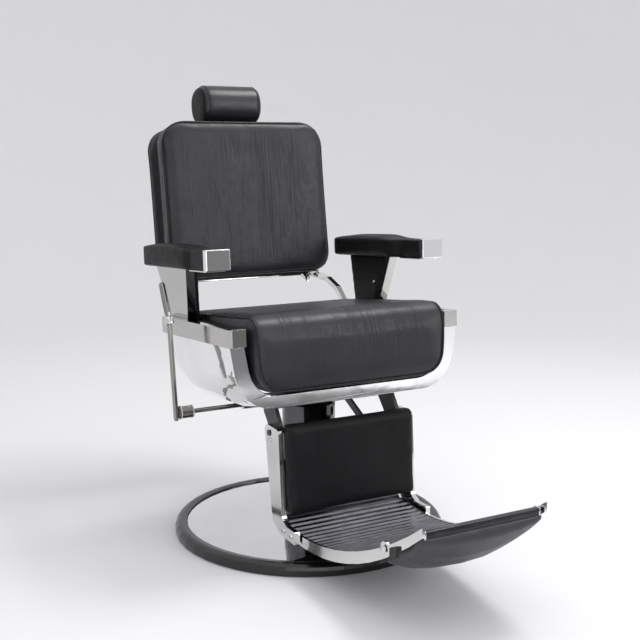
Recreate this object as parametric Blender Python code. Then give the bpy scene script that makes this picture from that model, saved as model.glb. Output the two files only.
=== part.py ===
"""Hydraulic barber chair. Metres, +Z up, origin on the floor at the centre of the round base.

The sitter faces -Y, so "left" in a name is the sitter's left, on +X, and "right" is on -X.
"""

import math

import bmesh
import bpy
from mathutils import Matrix, Vector

# --- driving dimensions ----------------------------------------------------------------------
GAP = 0.0004                # between two pieces that touch
BASE_RADIUS = 0.335
BASE_RIM_WIDTH = 0.029
LIFT_TRAVEL = 0.16          # the hydraulic lift, which sets how long the rod and sleeve are
SEAT_RAKE = math.radians(3.5)       # the seat and arms rise towards the front
BACK_RAKE = math.radians(8.4)       # the back leans away from upright
SEAT_HALF_WIDTH = 0.302     # of the front band, at its top
RAIL_BOTTOM, RAIL_TOP = 0.5035, 0.5430
RAIL_OUTER, RAIL_INNER = 0.3035, 0.2835
TUB_BOTTOM = 0.359
BAND_WIDTH = 0.028
ARM_X = 0.288               # centre of an armrest
ARM_BOTTOM, ARM_TOP = 0.6675, 0.7120
RAIL_REAR = 0.197
BACK_HALF_WIDTH, BACK_HEIGHT, BACK_DEPTH = 0.234, 0.406, 0.127
LEG_OUTER_X, LEG_BAR = 0.182, 0.012
TRAY_REAR_Y, TRAY_FRONT_Y = -0.200, -0.712
RIB_PITCH, RIB_HEIGHT = 0.0205, 0.004

# Joint axes, as (y, z). Every hinge lies along X.
BACK_HINGE = Vector((0.235, 0.500))
LEG_HINGE = Vector((-0.145, 0.300))
FLIP_HINGE = Vector((-0.592, 0.170))
LEVER_AXIS = Vector((-0.005, 0.336))
CRANK = 0.060 * Vector((math.cos(math.radians(-45)), math.sin(math.radians(-45))))
BACK_ORIGIN = Vector((0.304, 0.609))        # bottom of the backrest's front face
SIDES = (("left", 1), ("right", -1))


# --- materials -------------------------------------------------------------------------------
def material(name, color, roughness, metallic):
    made = bpy.data.materials.new(name)
    made.use_nodes = True
    shader = made.node_tree.nodes["Principled BSDF"]
    shader.inputs["Base Color"].default_value = (*color, 1.0)
    shader.inputs["Roughness"].default_value = roughness
    shader.inputs["Metallic"].default_value = metallic
    return made


def make_materials():
    return {
        "chrome": material("chrome", (0.80, 0.81, 0.82), 0.08, 1.0),
        "leather": material("leather", (0.018, 0.018, 0.020), 0.45, 0.0),
        "rubber": material("rubber", (0.012, 0.012, 0.013), 0.35, 0.0),
        "steel": material("steel", (0.045, 0.045, 0.048), 0.50, 0.6),
        "aluminium": material("aluminium", (0.42, 0.42, 0.45), 0.30, 1.0),
        "board": material("board", (0.030, 0.026, 0.022), 0.75, 0.0),
    }


# --- mesh helpers ----------------------------------------------------------------------------
def add(name, bm, finish, parent=None, smooth_deg=35):
    """An object from a bmesh, with its normals out. A None finish makes a hidden cutter."""
    bmesh.ops.recalc_face_normals(bm, faces=bm.faces)
    mesh = bpy.data.meshes.new(name)
    bm.to_mesh(mesh)
    bm.free()
    mesh.shade_smooth()
    mesh.set_sharp_from_angle(angle=math.radians(smooth_deg))
    made = bpy.data.objects.new(name, mesh)
    bpy.context.scene.collection.objects.link(made)
    if parent:
        made.parent = parent
    if finish:
        mesh.materials.append(finish)
    else:
        made.hide_render = True
        made.display_type = "WIRE"
    return made


def prism(outline, low, high, axis="x"):
    """A closed outline swept from low to high.

    Along x the outline is (y, z), along z it is (x, y) and along y it is (x, z)."""
    place = {
        "x": lambda u, v, w: (w, u, v),
        "y": lambda u, v, w: (u, w, v),
        "z": lambda u, v, w: (u, v, w),
    }[axis]
    bm = bmesh.new()
    rings = [[bm.verts.new(place(u, v, w)) for u, v in outline] for w in (low, high)]
    bm.faces.new(rings[0])
    bm.faces.new(rings[1])
    count = len(outline)
    for i in range(count):
        j = (i + 1) % count
        bm.faces.new((rings[0][i], rings[0][j], rings[1][j], rings[1][i]))
    return bm


def block(low, high):
    """A box between two corners."""
    (x0, y0, z0), (x1, y1, z1) = low, high
    return prism([(x0, y0), (x1, y0), (x1, y1), (x0, y1)], z0, z1, "z")


def rounded(corners, steps=3):
    """An outline whose corners (u, v, radius) are turned into arcs."""
    points = []
    count = len(corners)
    for i, (u, v, radius) in enumerate(corners):
        here = Vector((u, v))
        before = Vector(corners[i - 1][:2]) - here
        after = Vector(corners[(i + 1) % count][:2]) - here
        if radius <= 0:
            points.append((u, v))
            continue
        half = before.angle(after) / 2
        reach = radius / math.tan(half)
        centre = here + (before.normalized() + after.normalized()).normalized() * radius / math.sin(half)
        start = here + before.normalized() * reach - centre
        turn = start.angle_signed(here + after.normalized() * reach - centre)
        for k in range(steps + 1):
            spoke = start.copy()
            spoke.rotate(Matrix.Rotation(-turn * k / steps, 2))
            points.append(tuple(centre + spoke))
    return points


def circle(centre, radius, count=24):
    return [
        (centre[0] + radius * math.cos(2 * math.pi * k / count),
         centre[1] + radius * math.sin(2 * math.pi * k / count))
        for k in range(count)
    ]


def capsule(start, end, start_radius, end_radius, steps=6):
    """The outline of a bar with round ends."""
    start, end = Vector(start), Vector(end)
    heading = math.atan2(end.y - start.y, end.x - start.x)
    points = []
    ends = (start, start_radius, heading + math.pi / 2), (end, end_radius, heading - math.pi / 2)
    for centre, radius, first in ends:
        for k in range(steps + 1):
            angle = first + math.pi * k / steps
            points.append((centre.x + radius * math.cos(angle), centre.y + radius * math.sin(angle)))
    return points


def turned(profile, segments=28):
    """A closed profile of (radius, z) spun about Z. Points at radius 0 are merged on the axis."""
    bm = bmesh.new()
    rings = []
    for radius, z in profile:
        if radius < 1e-6:
            rings.append([bm.verts.new((0, 0, z))])
            continue
        ring = circle((0, 0), radius, segments)
        rings.append([bm.verts.new((x, y, z)) for x, y in ring])
    for lower, upper in zip(rings, rings[1:] + rings[:1]):
        for k in range(segments):
            m = (k + 1) % segments
            if len(lower) == 1 and len(upper) == 1:
                break
            if len(lower) == 1:
                bm.faces.new((lower[0], upper[m], upper[k]))
            elif len(upper) == 1:
                bm.faces.new((lower[k], lower[m], upper[0]))
            else:
                bm.faces.new((lower[k], lower[m], upper[m], upper[k]))
    return bm


def rod(axis, low, high, radius, count=16):
    """A round bar along X about an axis given as (y, z)."""
    return prism(circle(axis, radius, count), low, high)


def boolean(target, cutter, operation="DIFFERENCE"):
    change = target.modifiers.new(operation.title(), "BOOLEAN")
    change.operation = operation
    change.object = cutter
    change.solver = "EXACT"


def bevel(target, width, segments=2):
    change = target.modifiers.new("Bevel", "BEVEL")
    change.width = width
    change.segments = segments
    change.limit_method = "ANGLE"
    change.angle_limit = math.radians(40)


def empty(name, y, z, turn):
    """A frame for a tilted group: its own origin at (y, z), turned about X."""
    made = bpy.data.objects.new(name, None)
    bpy.context.scene.collection.objects.link(made)
    made.location = (0, y, z)
    made.rotation_euler = (turn, 0, 0)
    return made


# --- base, hydraulic cylinder and ram --------------------------------------------------------
PLATE_TOP = 0.010
CYLINDER_TOP = 0.270
ROD_RADIUS, CYLINDER_BORE = 0.030, 0.040
SLEEVE_RADIUS = 0.066
SLEEVE_TOP = 0.322


def make_base(finish):
    inner = BASE_RADIUS - BASE_RIM_WIDTH
    disc = turned([(0, 0), (inner - 0.006, 0), (inner - 0.006, PLATE_TOP), (0, PLATE_TOP)], 48)
    add("base_plate", disc, finish["steel"])
    rise = [(inner - 0.001 - 0.226 * k / 4, 0.024 + 0.015 * math.sin(math.pi / 2 * k / 4)) for k in range(5)]
    skin = 0.0025
    cover = [(inner - 0.001, PLATE_TOP + GAP)] + rise + [(0.0735, 0.039), (0.0735, 0.039 - skin)]
    cover += [(r - skin * (k == 4), z - skin) for k, (r, z) in reversed(list(enumerate(rise)))][:-1]
    cover += [(inner - 0.001 - skin, 0.024 - skin), (inner - 0.001 - skin, PLATE_TOP + GAP)]
    add("base_cover", turned(cover, 48), finish["chrome"])
    rim = rounded([
        (inner + GAP, 0, 0), (BASE_RADIUS, 0, 0.005), (BASE_RADIUS, 0.031, 0.014), (inner + GAP, 0.0275, 0),
    ], 3)
    add("base_rim", turned(rim, 48), finish["rubber"])
    flange = 0.068
    add("pump_cylinder", turned([
        (CYLINDER_BORE, PLATE_TOP + GAP), (flange, PLATE_TOP + GAP), (flange, 0.026), (0.054, 0.034),
        (0.050, 0.040), (0.050, CYLINDER_TOP), (CYLINDER_BORE, CYLINDER_TOP),
    ]), finish["steel"])
    add("gland_nut", turned([
        (ROD_RADIUS + GAP, CYLINDER_TOP + GAP), (0.051, CYLINDER_TOP + GAP), (0.051, 0.284), (0.047, 0.288),
        (ROD_RADIUS + GAP, 0.288),
    ]), finish["steel"])


def make_ram(finish):
    piston_top = CYLINDER_TOP - LIFT_TRAVEL - 0.012
    add("piston_rod", turned([
        (0, piston_top - 0.030), (CYLINDER_BORE - GAP, piston_top - 0.030), (CYLINDER_BORE - GAP, piston_top),
        (ROD_RADIUS, piston_top + 0.004), (ROD_RADIUS, 0.366), (0.027, 0.369), (0, 0.369),
    ]), finish["steel"])
    wall = 0.004
    add("lift_sleeve", turned([
        (SLEEVE_RADIUS - wall, 0.060), (SLEEVE_RADIUS, 0.060), (SLEEVE_RADIUS, SLEEVE_TOP), (0.060, 0.3345),
        (ROD_RADIUS + GAP, 0.3345), (ROD_RADIUS + GAP, SLEEVE_TOP - wall),
        (SLEEVE_RADIUS - wall, SLEEVE_TOP - wall),
    ]), finish["chrome"])
    add("thrust_bearing", turned([
        (0.034, 0.3350), (0.055, 0.3350), (0.055, 0.3405), (0.034, 0.3405),
    ]), finish["steel"])


# --- seat frame ------------------------------------------------------------------------------
HUB_BOTTOM, SEAT_PLATE_BOTTOM, SEAT_PLATE_TOP = 0.341, 0.3705, 0.3785
FRAME_BOTTOM, FRAME_TOP = 0.418, 0.4325      # crossbars, in the raked frame
FRAME_X = 0.2655


def make_underframe(finish):
    """The parts that carry the raked seat: hub, plate, leg hinge frame, bearings."""
    add("seat_hub", turned([
        (ROD_RADIUS + GAP, HUB_BOTTOM), (0.070, HUB_BOTTOM), (0.070, 0.350), (0.048, 0.354),
        (0.048, SEAT_PLATE_BOTTOM - GAP),
        (ROD_RADIUS + GAP, SEAT_PLATE_BOTTOM - GAP),
    ]), finish["steel"])
    outline = rounded([
        (-0.100, -0.130, 0.015), (0.100, -0.130, 0.015), (0.100, 0.150, 0.015), (-0.100, 0.150, 0.015),
    ])
    plate = add("seat_plate", prism(outline, SEAT_PLATE_BOTTOM, SEAT_PLATE_TOP, "z"), finish["steel"])
    for y in (-0.105, 0.110):
        low, high = (-0.080, y - 0.012, SEAT_PLATE_TOP - 0.004), (0.080, y + 0.012, 0.4085)
        riser = add(f"riser_{y}", block(low, high), None)
        boolean(plate, riser, "UNION")

    low, high = (-0.158, -0.118, 0.346), (0.158, -0.078, SEAT_PLATE_BOTTOM - GAP)
    beam = add("leg_hinge_frame", block(low, high), finish["steel"])
    for side, sign in SIDES:
        ear = rounded([
            (-0.078, 0.3685, 0.004), (-0.078, 0.335, 0.010), (-0.122, 0.283, 0.012), (-0.163, 0.286, 0.016),
            (-0.160, 0.318, 0.016), (-0.125, 0.3685, 0.010),
        ])
        inner, outer = sorted((sign * 0.154, sign * 0.163))
        boolean(beam, add(f"ear_{side}", prism(ear, inner, outer), None), "UNION")
    boolean(beam, add("leg_shaft_bore", rod(LEG_HINGE, -0.3, 0.3, 0.0075), None))
    add("leg_shaft", rod(LEG_HINGE, -0.1845, 0.1845, 0.0070), finish["steel"])

    for side, sign in SIDES:
        ends = sorted((sign * 0.2550, sign * 0.2596))
        bearing = add(f"back_bearing_{side}", rod(BACK_HINGE, *ends, 0.021, 20), finish["steel"])
        boolean(bearing, add(f"bearing_bore_{side}", rod(BACK_HINGE, -0.4, 0.4, 0.0125), None))

    bearing = add("lever_bearing", rod(LEVER_AXIS, -0.184, -0.080, 0.0115), finish["chrome"])
    bracket = block((-0.099, -0.018, 0.338), (-0.081, 0.008, SEAT_PLATE_BOTTOM - GAP))
    boolean(bearing, add("lever_bracket", bracket, None), "UNION")
    boolean(bearing, add("lever_bore", rod(LEVER_AXIS, -0.4, 0.0, 0.0060), None))


def tub_profile(offset=0.0, bottom=TUB_BOTTOM, steps=6):
    """Half of the seat tub's U section as (x, z), from the top of one side to the middle of the bottom."""
    top_x, knee_x, radius = SEAT_HALF_WIDTH - offset * 1.3, 0.280 - offset * 1.2, 0.095 - offset * 0.9
    low = bottom + offset
    arc = rounded([(top_x, RAIL_BOTTOM - GAP, 0), (knee_x, low, radius), (0, low, 0)], steps)
    return arc


def make_seat_frame(finish, rake):
    """The welded frame inside the tub."""
    crossbar = block((-FRAME_X, -0.130, FRAME_BOTTOM), (FRAME_X, -0.100, FRAME_TOP))
    frame = add("seat_frame", crossbar, finish["steel"], rake)
    pieces = [("bar", (-FRAME_X, 0.078, FRAME_BOTTOM), (FRAME_X, 0.108, FRAME_TOP))]
    for side, sign in SIDES:
        x0, x1 = sorted((sign * 0.2600, sign * FRAME_X))
        pieces.append((f"cheek_{side}", (x0, -0.150, FRAME_BOTTOM), (x1, 0.108, 0.487)))
        pieces.append((f"cheek_middle_{side}", (x0, 0.100, 0.470), (x1, 0.170, 0.487)))
        pieces.append((f"cheek_front_{side}", (x0, -0.150, 0.480), (x1, 0.042, RAIL_BOTTOM)))
        pieces.append((f"cheek_rear_{side}", (x0, 0.1985, 0.480), (x1, 0.252, 0.520)))
        pieces.append((f"cheek_top_{side}", (x0, 0.160, 0.480), (x1, 0.205, 0.487)))
    for name, low, high in pieces:
        boolean(frame, add(name, block(low, high), None, rake), "UNION")
    board = block((-0.250, -0.098, FRAME_TOP + GAP), (0.250, 0.170, 0.447))
    add("cushion_board", board, finish["board"], rake)


def make_tub(finish, rake):
    """The polished front band, the rails and the side skirts."""
    outer = tub_profile()
    inner = tub_profile(BAND_WIDTH)
    loop = outer + [(-x, z) for x, z in reversed(outer[:-1])]
    loop += [(-x, z) for x, z in inner] + list(reversed(inner[:-1]))
    band = add("front_band", prism(loop, -0.205, -0.160, "y"), finish["chrome"], rake)
    for side, sign in SIDES:
        plan = rounded([
            (sign * 0.2620, -0.212, 0.002), (sign * RAIL_OUTER, -0.212, 0.007),
            (sign * RAIL_OUTER, RAIL_REAR, 0.006),
            (sign * RAIL_INNER, RAIL_REAR, 0.002), (sign * RAIL_INNER, -0.190, 0.004),
            (sign * 0.2620, -0.190, 0.002),
        ])
        add(f"side_rail_{side}", prism(plan, RAIL_BOTTOM, RAIL_TOP, "z"), finish["chrome"], rake)
        make_skirt(side, sign, finish["chrome"], rake)
        x0, x1 = sorted((sign * 0.2510, sign * (RAIL_INNER - GAP)))
        infill = block((x0, -0.1850, RAIL_BOTTOM + GAP), (x1, 0.042, 0.5400))
        add(f"side_infill_{side}", infill, finish["leather"], rake)


SKIRT_FRONT, SKIRT_BOTTOM, SKIRT_WALL = -0.1595, 0.344, 0.0025
SKIRT_CORNER = (0.112, 0.130)       # how far the rear bottom corner runs along the skirt, and its rise


def make_skirt(side, sign, finish, rake):
    """A thin shell with the tub's section, whose bottom rises in a quarter round at the rear."""
    rows = 9
    run, rise = SKIRT_CORNER
    bm = bmesh.new()
    grid = []
    for k in range(rows + 1):
        t = k / rows
        y = SKIRT_FRONT + (RAIL_REAR - SKIRT_FRONT) * (1 - (1 - t) ** 1.7)
        corner = max(0.0, (y - RAIL_REAR + run) / run)
        lift = rise * (1 - math.sqrt(max(0.0, 1 - corner * corner)))
        lift += 0.011 * max(0.0, 1 - (y - SKIRT_FRONT) / 0.090) ** 2
        line = []
        for x, z in tub_profile(0.004, SKIRT_BOTTOM, 5)[:-1]:
            share = (RAIL_BOTTOM - z) / (RAIL_BOTTOM - SKIRT_BOTTOM)
            line.append(bm.verts.new((sign * x, y, z + lift * share - 0.0020)))
        grid.append(line)
    for a, b in zip(grid, grid[1:]):
        for k in range(len(a) - 1):
            bm.faces.new((a[k], a[k + 1], b[k + 1], b[k]))
    skirt = add(f"side_skirt_{side}", bm, finish, rake, 60)
    skin = skirt.modifiers.new("Wall", "SOLIDIFY")
    skin.thickness = SKIRT_WALL
    skin.offset = -1.0 if skirt.data.polygons[0].normal.x * sign > 0 else 1.0
    skin.use_even_offset = True


def make_seat_cushion(finish, rake):
    """A thick cushion that drops in front of the frame and fills the band."""
    side_view = rounded([
        (-0.236, 0.3925, 0.020), (-0.236, 0.572, 0.045), (0.200, 0.549, 0.030), (0.200, 0.484, 0.006),
        (0.170, 0.4475, 0.006),
        (-0.0975, 0.4475, 0), (-0.0975, 0.4475 - 0.0001, 0), (-0.1345, 0.4475 - 0.0002, 0),
        (-0.1345, 0.3925, 0.015),
    ], 6)
    cushion = add("seat_cushion", prism(side_view, -0.250, 0.250), finish["leather"], rake)
    half = tub_profile(BAND_WIDTH + 0.0045, steps=6)
    front = [(x, min(z, 0.50)) for x, z in half]
    front = [(front[0][0], 0.65)] + front
    loop = front + [(-x, z) for x, z in reversed(front[:-1])]
    boolean(cushion, add("cushion_section", prism(loop, -0.4, 0.4, "y"), None, rake), "INTERSECT")
    for side, sign in SIDES:
        x0, x1 = sorted((sign * 0.2420, sign * 0.300))
        boolean(cushion, add(f"cushion_notch_{side}", block((x0, 0.035, 0.30), (x1, 0.30, 0.70)), None, rake))


def make_arms(finish, rake):
    for side, sign in SIDES:
        def slab(name, inset, low_x, high_x, front_trim, skin):
            """A leaning slab between the seat frame and the armrest, set inset behind the outer face."""
            bm = bmesh.new()
            levels = ((0.4875, 0.280, 0.092, 0.176), (0.5430, 0.2825, 0.076, 0.184),
                      (ARM_BOTTOM - GAP, 0.298, 0.040, 0.230))
            rings = []
            for z, outer, front, rear in levels:
                corners = [(outer - low_x, front + front_trim), (outer - high_x, front + front_trim),
                           (outer - high_x, rear - front_trim), (outer - low_x, rear - front_trim)]
                rings.append([bm.verts.new((sign * x, y, z)) for x, y in corners])
            bm.faces.new(rings[0])
            bm.faces.new(rings[-1])
            for a, b in zip(rings, rings[1:]):
                for k in range(4):
                    m = (k + 1) % 4
                    bm.faces.new((a[k], a[m], b[m], b[k]))
            bevel(add(name, bm, skin, rake), 0.0015 + inset)

        slab(f"arm_post_{side}", 0.0, 0.0, 0.024, 0.0, finish["chrome"])
        slab(f"arm_trim_{side}", 0.001, 0.024 + GAP, 0.035, 0.004, finish["leather"])
        centre = sign * ARM_X
        plan = rounded([
            (centre - 0.027 * sign, -0.116, 0.004), (centre + 0.027 * sign, -0.116, 0.004),
            (centre + 0.027 * sign, -0.032, 0.020), (centre + 0.034 * sign, -0.010, 0.030),
            (centre + 0.033 * sign, 0.278, 0.032), (centre - 0.050 * sign, 0.288, 0.026),
            (centre - 0.050 * sign, -0.010, 0.030), (centre - 0.027 * sign, -0.032, 0.020),
        ], 4)
        pillow = add(f"arm_pad_{side}", prism(plan, ARM_BOTTOM, ARM_TOP, "z"), finish["leather"], rake)
        bevel(pillow, 0.006, 2)
        cap = block((centre - 0.0300, -0.134, 0.6665), (centre + 0.0300, -0.116 - GAP, 0.7145))
        bevel(add(f"arm_cap_{side}", cap, finish["chrome"], rake), 0.0025)


# --- backrest and headrest -------------------------------------------------------------------
def back_outline(inset=0.0, radius=0.060):
    """The backrest's front view as (x, z), in its own leaning frame."""
    x, low, high = BACK_HALF_WIDTH - inset, inset, BACK_HEIGHT - inset
    corners = [
        (-x, low, radius * 0.7), (x, low, radius * 0.7),
        (x - 0.004, high, radius), (-x + 0.004, high, radius),
    ]
    return rounded(corners, 5)


HEADREST_CENTRE = Vector((0.101, 0.467))     # in the back's frame, (y, z)
BAR_Y = 0.102


def make_back(finish, lean):
    bevel(add("back_cushion", prism(back_outline(), -0.010, 0.045, "y"), finish["leather"], lean), 0.010, 2)
    add("back_board", prism(back_outline(0.006), 0.045 + GAP, 0.057, "y"), finish["board"], lean)
    panel = prism(back_outline(0.001), 0.057 + GAP, BACK_DEPTH, "y")
    shell = add("back_shell", panel, finish["leather"], lean)
    bevel(shell, 0.012, 2)
    boolean(shell, add("shell_hollow", prism(back_outline(0.005), 0.0, BACK_DEPTH - 0.004, "y"), None, lean))
    slot = block((-0.0195, BAR_Y - 0.005, 0.30), (0.0195, BAR_Y + 0.005, 0.50))
    boolean(shell, add("bar_slot", slot, None, lean))
    tube = block((-0.026, BAR_Y - 0.011, 0.150), (0.026, BAR_Y + 0.011, 0.396))
    socket = add("headrest_socket", tube, finish["steel"], lean)
    hole = block((-0.0182, BAR_Y - 0.0034, 0.10), (0.0182, BAR_Y + 0.0034, 0.50))
    boolean(socket, add("socket_hole", hole, None, lean))


def from_back(y, z):
    """A point of the leaning back's frame, in the upright one, as (y, z)."""
    c, s = math.cos(BACK_RAKE), math.sin(BACK_RAKE)
    return BACK_ORIGIN.x + y * c + z * s, BACK_ORIGIN.y - y * s + z * c


def swept(path, width, height):
    """A flat bar along points (x, y, z) whose thickness stays in the YZ plane and whose width is along X."""
    bm = bmesh.new()
    rings = []
    for k, point in enumerate(path):
        before, after = Vector(path[max(k - 1, 0)]), Vector(path[min(k + 1, len(path) - 1)])
        along = after - before
        normal = Vector((0, -along.z, along.y)).normalized() * height / 2
        wide = Vector((width / 2, 0, 0))
        middle = Vector(point)
        corners = (1, 1), (1, -1), (-1, -1), (-1, 1)
        rings.append([bm.verts.new(middle + a * normal + b * wide) for a, b in corners])
    for a, b in zip(rings, rings[1:]):
        for k in range(4):
            bm.faces.new((a[k], a[(k + 1) % 4], b[(k + 1) % 4], b[k]))
    bm.faces.new(rings[0])
    bm.faces.new(rings[-1])
    return bm


def make_back_hinge(finish):
    """The bent arms under the backrest, the torque tube that they turn on and its crank."""
    for side, sign in SIDES:
        inner, outer = sorted((sign * 0.2405, sign * 0.2545))
        arm = add(f"back_arm_{side}", rod(BACK_HINGE, inner, outer, 0.0205, 20), finish["chrome"])
        path = [
            (0.184, 0.366, 0.5905), (0.192, 0.346, 0.5930), (0.205, 0.322, 0.5925), (0.224, 0.296, 0.5820),
            (0.240, 0.272, 0.5590), (0.2475, 0.250, 0.5270), (0.2475, 0.2400, 0.5080),
        ]
        bar = add(f"back_bar_{side}", swept([(sign * x, y, z) for x, y, z in path], 0.0140, 0.0150), None)
        boolean(arm, bar, "UNION")
        boolean(arm, add(f"arm_bore_{side}", rod(BACK_HINGE, -0.4, 0.4, 0.0120 + GAP), None))
    shaft = add("recline_shaft", rod(BACK_HINGE, -0.2590, 0.2590, 0.0120, 28), finish["steel"])
    pin = BACK_HINGE + CRANK
    crank = add("back_crank", prism(capsule(BACK_HINGE, pin, 0.020, 0.012), 0.102, 0.112), None)
    boolean(shaft, crank, "UNION")
    boolean(shaft, add("back_crank_pin", rod(pin, 0.108, 0.124, 0.0050), None), "UNION")


def make_headrest(finish, lean):
    top = HEADREST_CENTRE.y - 0.009 - GAP
    strap = block((-0.0175, BAR_Y - 0.003, 0.215), (0.0175, BAR_Y + 0.003, top))
    bar = add("headrest_bar", strap, finish["chrome"], lean)
    bevel(bar, 0.0008)
    add("headrest_pivot", rod(HEADREST_CENTRE, -0.050, 0.050, 0.0090), finish["steel"], lean)
    section = [
        (HEADREST_CENTRE.x + 0.0560 * math.copysign(abs(math.cos(a)) ** 0.85, math.cos(a)),
         HEADREST_CENTRE.y + 0.0520 * math.copysign(abs(math.sin(a)) ** 0.85, math.sin(a)))
        for a in (2 * math.pi * k / 20 for k in range(20))
    ]
    roll = add("headrest_cushion", prism(section, -0.086, 0.086), finish["leather"], lean)
    bevel(roll, 0.016, 2)
    centre = HEADREST_CENTRE
    wedge = [(centre.x - 0.012, centre.y + 0.004), (centre.x + 0.012, centre.y + 0.004),
             (centre.x + 0.040, centre.y - 0.10), (centre.x - 0.040, centre.y - 0.10)]
    boolean(roll, add("roll_slot", prism(wedge, -0.021, 0.021), None, lean))
    boolean(roll, add("roll_bore", rod(centre, -0.0505, 0.0505, 0.0096), None, lean))


def make_release(finish):
    """The small ball lever under the back that frees the recline."""
    axis = (0.352, 0.5925)
    arm = prism(capsule(axis, (0.330, 0.5850), 0.0055, 0.004, 5), 0.1680, 0.1765)
    lever = add("release_lever", arm, finish["chrome"])
    ball = bmesh.new()
    bmesh.ops.create_uvsphere(ball, u_segments=12, v_segments=8, radius=0.0080)
    bmesh.ops.translate(ball, verts=ball.verts, vec=(0.1725, 0.322, 0.5830))
    boolean(lever, add("ball", ball, None), "UNION")


# --- leg rest, foot tray and flip pad --------------------------------------------------------
def tray_height(y):
    """The height of the rib tops along the dished tray."""
    s = -(y + 0.245)
    return 0.090 - 0.0403 * s + 0.8187 * s * s


def tray_edge(y):
    """The outer face of the tray's cheek, which closes in a little towards the front."""
    return 0.1695 - 0.0195 * (y - TRAY_REAR_Y) / (TRAY_FRONT_Y - TRAY_REAR_Y)


CHEEK_WALL = 0.006


def taper(bm, sign=None):
    """Moves a piece built between plane sides to the tray's tapered ones."""
    for v in bm.verts:
        if sign is None:
            v.co.x *= (tray_edge(v.co.y) - CHEEK_WALL - GAP) / 0.100
        else:
            v.co.x += sign * tray_edge(v.co.y)


def ribbed(rear, front, plate):
    """A plate's side view with ribs on top, as (y, z)."""
    count = int(round((rear - front) / RIB_PITCH))
    pitch = (rear - front) / count
    top = []
    for k in range(count):
        for share, rise in ((0.10, 0.0), (0.24, 1.0), (0.56, 1.0), (0.70, 0.0)):
            y = rear - pitch * (k + share)
            top.append((y, tray_height(y) - RIB_HEIGHT * (1 - rise)))
    ends = [(front, tray_height(front) - RIB_HEIGHT), (rear, tray_height(rear) - RIB_HEIGHT)]
    steps = 6
    under = []
    for k in range(steps + 1):
        y = front + (rear - front) * k / steps
        under.append((y, tray_height(y) - RIB_HEIGHT - plate))
    return [ends[1]] + top + [ends[0]] + under


def make_legs(finish):
    for side, sign in SIDES:
        outline = rounded([
            (-0.119, 0.319, 0.014), (-0.190, 0.315, 0.010), (-0.2055, 0.112, 0.020), (-0.228, 0.1005, 0.010),
            (-0.270, 0.1000, 0.003), (-0.270, 0.0700, 0.003), (-0.196, 0.0745, 0.020), (-0.158, 0.098, 0.025),
        ], 4)
        inner, outer = sorted((sign * (LEG_OUTER_X - LEG_BAR), sign * LEG_OUTER_X))
        bar = add(f"leg_bar_{side}", prism(outline, inner, outer), finish["chrome"])
        boolean(bar, add(f"leg_bore_{side}", rod(LEG_HINGE, -0.4, 0.4, 0.0070 + GAP), None))
        make_cheek(side, sign, finish["chrome"])
    pad = rounded([
        (-0.179, 0.124, 0.004), (-0.180, 0.325, 0.006), (-0.215, 0.329, 0.016), (-0.228, 0.122, 0.012),
    ], 4)
    bevel(add("leg_pad", prism(pad, -0.1675, 0.1675), finish["leather"]), 0.004)
    board = add("leg_board", block((-0.149, -0.1785, 0.126), (0.149, -0.1665, 0.290)), finish["steel"])
    tie = add("leg_tie", block((-0.1695, -0.1785, 0.126), (0.1695, -0.1665, 0.240)), None)
    boolean(board, tie, "UNION")
    pin = LEG_HINGE + CRANK
    outline = rounded([(-0.172, 0.285, 0.002), (-0.172, 0.215, 0.002), (pin.x - 0.002, pin.y - 0.013, 0.012),
                       (pin.x + 0.013, pin.y - 0.001, 0.010), (pin.x + 0.002, pin.y + 0.015, 0.010)], 4)
    boolean(board, add("leg_crank", prism(outline, 0.102, 0.112), None), "UNION")
    boolean(board, add("leg_crank_pin", rod(pin, 0.108, 0.124, 0.0050), None), "UNION")


def make_cheek(side, sign, finish):
    steps = 12
    rear, front = TRAY_REAR_Y, TRAY_FRONT_Y
    heights = [rear + (front - rear) * k / steps for k in range(steps + 1)]
    outline = [(y, tray_height(y)) for y in heights]
    outline += [(y, tray_height(y) - 0.020 - 0.007 * math.sin(math.pi * k / steps))
                for k, y in reversed(list(enumerate(heights)))]
    inner, outer = sorted((-sign * CHEEK_WALL, 0.0))
    plate = prism(outline, inner, outer)
    taper(plate, sign)
    cheek = add(f"tray_cheek_{side}", plate, finish)
    ear = prism(circle(FLIP_HINGE, 0.0145), inner, outer)
    taper(ear, sign)
    boolean(cheek, add(f"flip_ear_{side}", ear, None), "UNION")
    boolean(cheek, add(f"flip_hole_{side}", rod(FLIP_HINGE, -0.3, 0.3, 0.0050), None))


def make_tray(finish):
    rear_end = FLIP_HINGE.x + 0.0115
    plate = prism(ribbed(TRAY_REAR_Y + 0.050, rear_end, 0.003), -0.100, 0.100)
    taper(plate)
    add("foot_tray", plate, finish["aluminium"])
    for side, sign in SIDES:
        outline = rounded([
            (-0.617, 0.158, 0.003), (-0.640, 0.168, 0.003), (-0.640, 0.190, 0.003), (-0.617, 0.182, 0.003),
        ])
        inner, outer = sorted((sign * GAP, sign * 0.0065))
        stop = prism(outline, inner, outer)
        taper(stop, sign)
        add(f"flip_stop_{side}", stop, finish["rubber"])


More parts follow.
